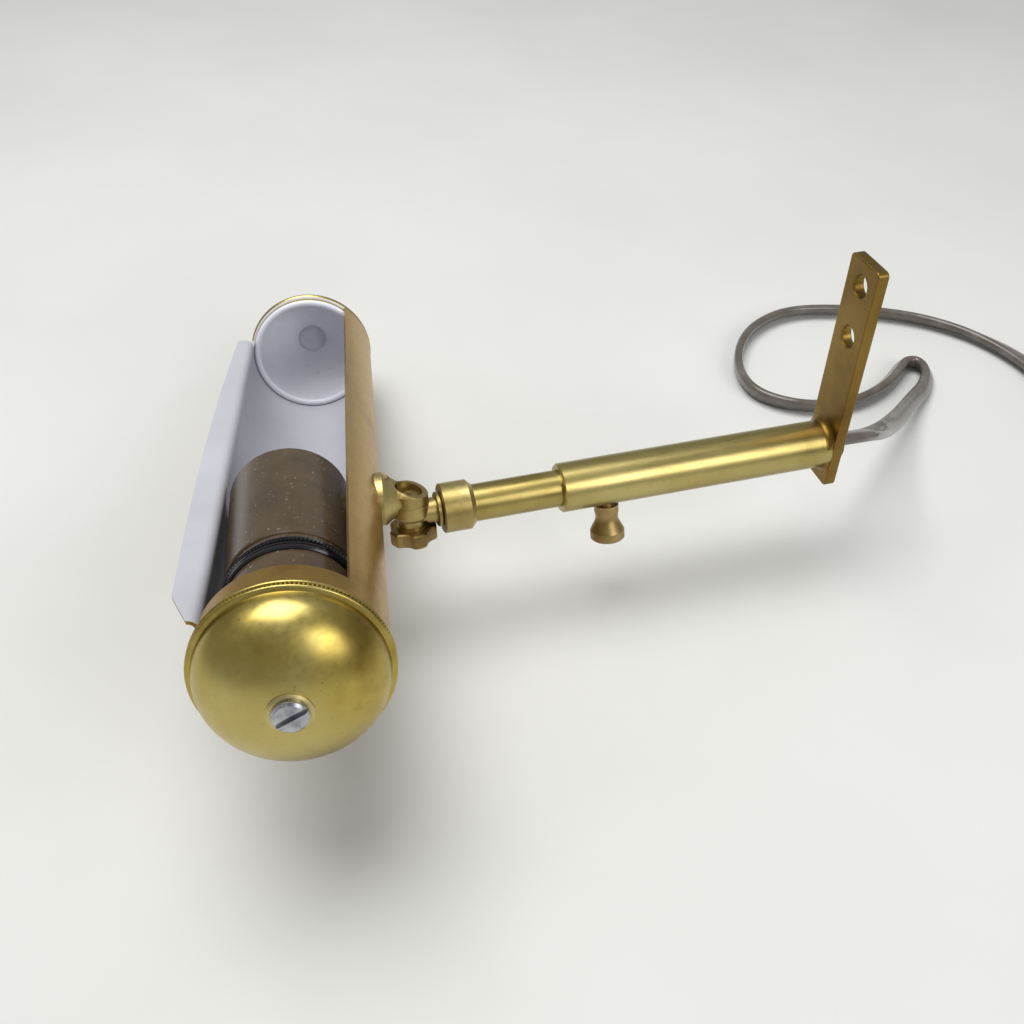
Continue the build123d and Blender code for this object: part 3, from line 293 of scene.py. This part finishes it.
shade_brass = lined_brass(
    "lined_sheet_brass", "#bd9a55", "#ae8b4a", "#8c6b34", ("#b4b4bb", "#bfbfc6"),
    rough=(0.3, 0.42), lip_from=SHELL_LIP,
)
# The domes' enamel is the shade's enamel painted lighter: painted light making up for the shade
# in the far bowl.
dome_brass = lined_brass(
    "lined_spun_brass", "#bfb070", "#b09c52", "#80682e", ("#dfe0ea", "#e9e9f0"),
    rough=(0.26, 0.38), lip_from=NO_LIP,
)
DRAWN_GRAIN = (1, 0.1, 1)
tube_brass = tarnished_brass(
    "drawn_brass", "#b9ab70", "#ab9a5e", "#8a7440", (0.26, 0.38), DRAWN_GRAIN
)
inner_tube_brass = tarnished_brass(
    "pale_drawn_brass", "#b5a86c", "#a18e52", "#7d6434", (0.26, 0.4), DRAWN_GRAIN
)
bar_brass = tarnished_brass("rolled_brass", "#957a3e", "#7d622c", "#5d461c", (0.32, 0.46))
turned_brass = tarnished_brass("turned_brass", "#c6b985", "#b3a169", "#8a7240", (0.32, 0.46))
# Dark brass for painted shade on one flank of each milled notch of the near cap.
painted_shade_brass = tarnished_brass("painted_shade_brass", "#5d4a22", "#3e3015", "#2b210e", (0.5, 0.7))
handled_brass = tarnished_brass("handled_brass", "#b7a06e", "#937b4c", "#5f4a28", (0.36, 0.5))


def plain_metal(name, light, dark, rough):
    """Nickel, zinc or steel with a slight cloudiness."""
    material, tree, shader, coords = new_material(name, Metallic=1.0)
    clouds = noise(tree, coords, 300, detail=5)
    tree.links.new(ramp(tree, clouds, (0.35, dark), (0.65, light)), shader.inputs["Base Color"])
    tree.links.new(span(tree, clouds, 0.3, 0.7, *rough), shader.inputs["Roughness"])
    bump(tree, shader, noise(tree, coords, 1500), strength=0.3, distance=0.00002)
    return material


worn_nickel = plain_metal("worn_nickel", "#c9cace", "#8b8c90", (0.22, 0.42))
zinced_steel = plain_metal("zinced_steel", "#b4b4b0", "#8c8c86", (0.35, 0.5))


def moulded(name, light, dark, rough, coat=0.0, dust="#8a7d6c", dusting=0.0):
    """Moulded plastic, enamel or rubber with faint mottling and settled dust."""
    material, tree, shader, coords = new_material(name, Coat_Weight=coat)
    clouds = noise(tree, coords, 120, detail=6, roughness=0.6)
    base = ramp(tree, clouds, (0.35, dark), (0.65, light))
    specks = noise(tree, coords, 1100, detail=3)
    base = blend(tree, span(tree, specks, 0.66, 0.74, 0.0, dusting), base, colour(dust))
    tree.links.new(base, shader.inputs["Base Color"])
    tree.links.new(span(tree, clouds, 0.3, 0.7, *rough), shader.inputs["Roughness"])
    bump(tree, shader, noise(tree, coords, 700, detail=3), strength=0.2, distance=0.00003)
    return material


dark_bakelite = moulded(
    "dusty_bakelite", "#53432f", "#443626", (0.2, 0.3), dust="#b5a892", dusting=0.7
)
black_bakelite = moulded(
    "black_bakelite", "#17151a", "#0f0e11", (0.12, 0.22), dust="#5e5852", dusting=0.35
)
white_enamel = moulded(
    "white_enamel", "#cfd0da", "#c2c4d0", (0.35, 0.5), dust="#a9a9ad", dusting=0.3
)
glazed_ceramic = moulded("glazed_ceramic", "#e6e2d8", "#dad5c8", (0.15, 0.25), coat=0.5)
brown_pvc = moulded(
    "brown_pvc", "#6e6762", "#585049", (0.2, 0.3), coat=0.3, dust="#9a8d84", dusting=0.3
)
white_pvc = moulded("white_pvc", "#e4e1da", "#d2cfc6", (0.4, 0.5))
black_rubber = moulded("black_rubber", "#242322", "#191818", (0.55, 0.7), dusting=0.3)

finishes = {
    "bracket_bar": bar_brass, "outer_tube": tube_brass, "braze_fillet": bar_brass,
    "tube_bush": black_rubber, "thumb_pad": turned_brass, "thumb_screw": handled_brass,
    "inner_tube": inner_tube_brass, "ferrule": turned_brass, "swivel_arm_half": turned_brass,
    "swivel_clip": zinced_steel, "swivel_washer": turned_brass, "star_nut": handled_brass,
    "pivot_screw": turned_brass, "swivel_shade_half": turned_brass, "hub_saddle": turned_brass,
    "hub_nut": zinced_steel, "shade_shell": shade_brass, "near_cap": dome_brass,
    "near_cup_washer": turned_brass, "near_cap_screw": worn_nickel, "far_cap": dome_brass,
    "far_cup_washer": turned_brass, "far_cap_screw": worn_nickel, "far_cap_nut": white_enamel,
    "holder_bracket": zinced_steel, "holder_stud": zinced_steel, "stud_nut": zinced_steel,
    "lampholder_cap": dark_bakelite, "lampholder_ring": black_bakelite,
    "lampholder_shell": dark_bakelite, "holder_insulator": glazed_ceramic,
    "threaded_sleeve": turned_brass, "centre_contact": turned_brass,
    "terminal_screws": turned_brass, "inner_wires": white_pvc, "swivel_sleeve": white_pvc,
    "flex_in_swivel": white_pvc, "flex_in_tube": brown_pvc, "flex_cord": brown_pvc,
    "cord_coil": brown_pvc, "coil_tie": black_rubber, "cord_tail": brown_pvc,
    "plug_body": brown_pvc, "plug_pins": worn_nickel,
}
for name, material in finishes.items():
    nodes[name].data.materials.clear()
    nodes[name].data.materials.append(material)
    shade_smooth(nodes[name].data, SMOOTH_ANGLE)


# ---- near cap ----------------------------------------------------------------------
# Spun dome whose rim is rolled into two fine ridges, with milled notches between them
# and a spigot inside the shade.
NEAR_NOTCHES = 150
GROOVE_LEVELS = (-1.6, -0.8)
RIM_RADIUS, NOTCH_DEEP, NOTCH_HIGH = 19.72, 19.45, 19.9
DOME_BASE = -3
INSIDE_ANGLES = (1.448, 1.3, 1.1, 0.9, 0.7, 0.5, 0.3, 0.12)    # radians, from the pole outwards
near_outline = [
    (18 * math.cos(angle), DOME_BASE - 10.5 * math.sin(angle)) for angle in INSIDE_ANGLES
]
near_outline += [
    (18, DOME_BASE), (18, -1.2), (17.3, -1.2), (17.3, 5), (18.1, 5), (18.1, -0.08), (18.9, -0.08),
]
near_outline += arc(19.6, -0.45, 0.45, 0.37, 88, -45, 7)
near_outline += [(RIM_RADIUS, GROOVE_LEVELS[1]), (RIM_RADIUS, GROOVE_LEVELS[0])]
near_outline += arc(19.6, -1.95, 0.45, 0.37, 45, -100, 7)
near_outline += [(18.95, -2.45)] + arc(0, DOME_BASE, 18.8, 11.3, 0, -75.2, 30)
near_outline += [(4.78, -13.93), (4.5, -13.95), (2.2, -13.95), (2.2, -13.5), near_outline[0]]
near_bm = lathe(near_outline, steps=2 * NEAR_NOTCHES)
mill(near_bm, GROOVE_LEVELS, 19, NEAR_NOTCHES, NOTCH_DEEP, NOTCH_HIGH)
# Every other face between the ridges, one flank of each notch, is dark brass as painted shade.
for face in near_bm.faces:
    middle = face.calc_center_median()
    if -1.5 < middle.z < -0.9 and math.hypot(middle.x, middle.y) > 19.2:
        face.material_index = math.floor(turn_step(middle.x, middle.y, NEAR_NOTCHES)) % 2
near_dome = add_piece(
    "near_dome", "lamp_head", near_bm, shade_frame, dome_brass, smooth=SMOOTH_ANGLE
)
near_dome.data.materials.append(painted_shade_brass)
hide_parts("near_cap")

# ---- near screw --------------------------------------------------------------------
# The slotted nickel screw at the pole, its slot left slanting when it was done up.
SLOT_SLANT = 26
screw_bm = bmesh.new()
screw_bm.from_mesh(nodes["near_cap_screw"].data)
screw_bm.transform(Matrix.Scale(1 / MM, 4))
screw_turn = shade_frame @ rotated(-SLOT_SLANT, "Z") @ shade_frame.inverted()
near_screw = add_piece("near_screw", "lamp_head", screw_bm, screw_turn, worn_nickel)
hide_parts("near_cap_screw")

# ---- lampholder's ring ---------------------------------------------------------------
# Glossy black ring with two turned grooves and a finely milled edge towards the shell.
RING_TEETH = 110
TEETH_LEVELS = (19.0, 20.0)
TOOTH_LOW, TOOTH_HIGH = 13.98, 14.78
ring_outline = [
    (13.95, 16.5), (14.2, 16.5), (14.55, 16.8), (14.6, 17.2), (14.6, 17.6), (14.25, 17.7),
    (14.25, 17.95), (14.6, 18.05), (14.6, 18.45), (14.25, 18.55), (14.25, 18.8), (14.6, 19.0),
    (14.6, 20.0), (14.2, 20.15), (14.2, 20.4), (14.5, 20.55), (14.45, 20.9), (13.95, 20.9),
    (13.95, 16.5),
]
ring_bm = lathe(ring_outline, steps=2 * RING_TEETH)
mill(ring_bm, TEETH_LEVELS, 14.5, RING_TEETH, TOOTH_LOW, TOOTH_HIGH)
milled_ring = add_piece(
    "milled_ring", "lamp_head", ring_bm, holder_frame, black_bakelite, smooth=SMOOTH_ANGLE
)
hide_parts("lampholder_ring")


# ---- plug -------------------------------------------------------------------------
# The moulded body has softly rounded edges.
PLUG_EDGE = 0.0013
rounding = nodes["plug_body"].modifiers.new("rounding", "BEVEL")
rounding.width = PLUG_EDGE
rounding.segments = 3
rounding.limit_method = "ANGLE"
rounding.angle_limit = math.radians(35)


# ---- camera ------------------------------------------------------------------------
# Looks down at about 41 degrees from beyond the near end of the shade.
SENSOR_WIDTH, FOCAL_LENGTH = 36, 37.737
camera_data = bpy.data.cameras.new("camera")
camera_data.sensor_width = SENSOR_WIDTH
camera_data.lens = FOCAL_LENGTH
camera_data.clip_start = 0.01
camera = bpy.data.objects.new("camera", camera_data)
bpy.context.scene.collection.objects.link(camera)
camera.matrix_world = axes(
    (0.19863, -0.14733, 0.13519), (0.27062, 0.96262, 0.01128),
    (-0.63585, 0.16993, 0.75287), (0.72282, -0.21092, 0.65807),
)
bpy.context.scene.camera = camera


# ---- flex ----------------------------------------------------------------------------
# Flat twin flex: out of the bush, down in a tight fold and a loose loop on the floor,
# then the spare length wound flat in two layers, and its tail to the plug.
FLEX_WIDTH, FLEX_THICK = 6.0, 3.0
CORE_ARC = 78           # degrees of each core's outline, either way from its edge
COIL_X, COIL_Y = -24.0, 159.0
COIL_STEP = 20          # degrees between points of the coil
LOWER_TURNS = 4
FLEX_Z, LOWER_LAYER, UPPER_LAYER = -74.2, -74.65, -71.55
# Each point of the loose part ends in the degrees that the flat leans there.
loose_run = [
    (0, 1.4, -40.3, -30), (0, 9.5, -40.3, -25), (-7, 19, -46.5, 0), (-19, 32, -56, 20),
    (-33, 47.5, -64.5, 38), (-48, 63.5, -71, 46), (-57.5, 75, -74, 50), (-66, 81.5, FLEX_Z, 55),
    (-72.5, 81, FLEX_Z, 58), (-73.5, 76, FLEX_Z, 58), (-69.5, 71.5, FLEX_Z, 56),
    (-63.5, 64, FLEX_Z, 52), (-58.5, 54, FLEX_Z, 50), (-56, 44, FLEX_Z, 50),
    (-57, 33, FLEX_Z, 52), (-61, 24, FLEX_Z, 58), (-68.5, 17, FLEX_Z, 64),
    (-79, 16, FLEX_Z, 72), (-91.5, 20, FLEX_Z, 85), (-104.5, 29, FLEX_Z, 105),
    (-113, 41.5, FLEX_Z, 125), (-116, 54, FLEX_Z, 135), (-113, 69, FLEX_Z, 135),
    (-106.5, 85, FLEX_Z, 130), (-98, 98.5, FLEX_Z, 130), (-86, 110, FLEX_Z, 145),
    (-72, 116.5, FLEX_Z, 162), (-57, 119, FLEX_Z, 175), (-41, 118.7, FLEX_Z, 180),
]
plug_run = [
    (17.6, 172, UPPER_LAYER, 180), (18.0, 186, -73.15, 180), (14.2, 200, FLEX_Z, 180),
    (4.7, 211.5, -73.2, 180), (-10.5, 219, -70.3, 180), (-28, 219, -70.3, 180),
]
# Each turn of the coil: degrees at its start, where it steps across, and its radius.
coil_turns = [
    (270, 582, 40.7), (622, 942, 34.6), (982, 1302, 28.5), (1342, 1610, 22.4),
    (1662, 1918, 22.4), (1968, 2278, 28.5), (2328, 2638, 34.6), (2688, 2880, 40.7),
]


def coil_points():
    """Points of the coil from its outer turn inwards on the floor and outwards on top."""
    points = []
    for number, (start, end, radius) in enumerate(coil_turns):
        level = LOWER_LAYER if number < LOWER_TURNS else UPPER_LAYER
        steps = round((end - start) / COIL_STEP)
        for i in range(steps + 1):
            angle = math.radians(start + (end - start) * i / steps)
            points.append(
                (COIL_X + radius * math.cos(angle), COIL_Y + radius * math.sin(angle), level, 180)
            )
    return points


section_data = bpy.data.curves.new("flex_section", "CURVE")
section_data.dimensions = "2D"
section_line = section_data.splines.new("POLY")
half_width, half_thick = FLEX_WIDTH / 2, FLEX_THICK / 2
core = half_width - half_thick
section_outline = arc(core, 0, half_thick, half_thick, -CORE_ARC, CORE_ARC, 8)
section_outline += arc(-core, 0, half_thick, half_thick, 180 - CORE_ARC, 180 + CORE_ARC, 8)
section_line.points.add(len(section_outline) - 1)
for point, (x, y) in zip(section_line.points, section_outline):
    point.co = (x * MM, y * MM, 0, 1)
section_line.use_cyclic_u = True
flex_section = bpy.data.objects.new("flex_section", section_data)
bpy.context.scene.collection.objects.link(flex_section)
flex_section.hide_render = True
flex_section.hide_viewport = True

flex_route = loose_run + coil_points() + plug_run
flex_data = bpy.data.curves.new("flex", "CURVE")
flex_data.dimensions = "3D"
flex_data.twist_mode = "Z_UP"
flex_data.resolution_u = 8
flex_line = flex_data.splines.new("NURBS")
flex_line.points.add(len(flex_route) - 1)
for point, (x, y, z, lean) in zip(flex_line.points, flex_route):
    point.co = (x * MM, y * MM, z * MM, 1.0)
    point.tilt = math.radians(lean)
flex_line.order_u = 3
flex_line.use_endpoint_u = True
flex_data.bevel_mode = "OBJECT"
flex_data.bevel_object = flex_section
flex_data.use_fill_caps = True
flex_data.materials.append(brown_pvc)
flex = bpy.data.objects.new("flex", flex_data)
bpy.context.scene.collection.objects.link(flex)
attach(flex, "bracket_arm")
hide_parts("flex_cord", "cord_coil", "cord_tail")


# ---- floor and light -------------------------------------------------------------------
# A flat pale floor, a broad softbox above and a weaker one beside.
FLOOR = -77.0
FLOOR_GAP = 0.0003      # metres that the floor keeps below the flex
floor_data = bpy.data.meshes.new("floor")
floor_bm = bmesh.new()
bmesh.ops.create_grid(floor_bm, x_segments=2, y_segments=2, size=6)
bmesh.ops.translate(floor_bm, verts=floor_bm.verts, vec=(0, 0, FLOOR * MM - FLOOR_GAP))
floor_bm.to_mesh(floor_data)
floor_bm.free()
floor = bpy.data.objects.new("floor", floor_data)
bpy.context.scene.collection.objects.link(floor)
floor_material, floor_tree, floor_shader, floor_coords = new_material("pale_floor", Roughness=0.8)
floor_clouds = noise(floor_tree, floor_coords, 9)
floor_tone = ramp(floor_tree, floor_clouds, (0.3, "#d3d3cf"), (0.7, "#d9d9d6"))
floor_tree.links.new(floor_tone, floor_shader.inputs["Base Color"])
floor_data.materials.append(floor_material)


def softbox(name, place, target, size, power):
    """An area light aimed at a point; places are in millimetres, its size in metres."""
    data = bpy.data.lights.new(name, "AREA")
    data.shape = "RECTANGLE"
    data.size, data.size_y = size
    data.energy = power
    light = bpy.data.objects.new(name, data)
    bpy.context.scene.collection.objects.link(light)
    light.location = Vector(place) * MM
    aim = Vector(target) * MM - light.location
    light.rotation_euler = aim.to_track_quat("-Z", "Y").to_euler()


softbox("key_light", (-150, -250, 900), (0, -60, -40), (0.7, 0.7), 9)
softbox("side_light", (700, 300, 500), (0, -60, -40), (0.5, 0.5), 3)

world = bpy.data.worlds.new("studio")
bpy.context.scene.world = world
world.use_nodes = True
background = world.node_tree.nodes["Background"]
background.inputs["Color"].default_value = colour("#c9cbcb")
background.inputs["Strength"].default_value = 0.55

bpy.context.scene.view_settings.view_transform = "Standard"
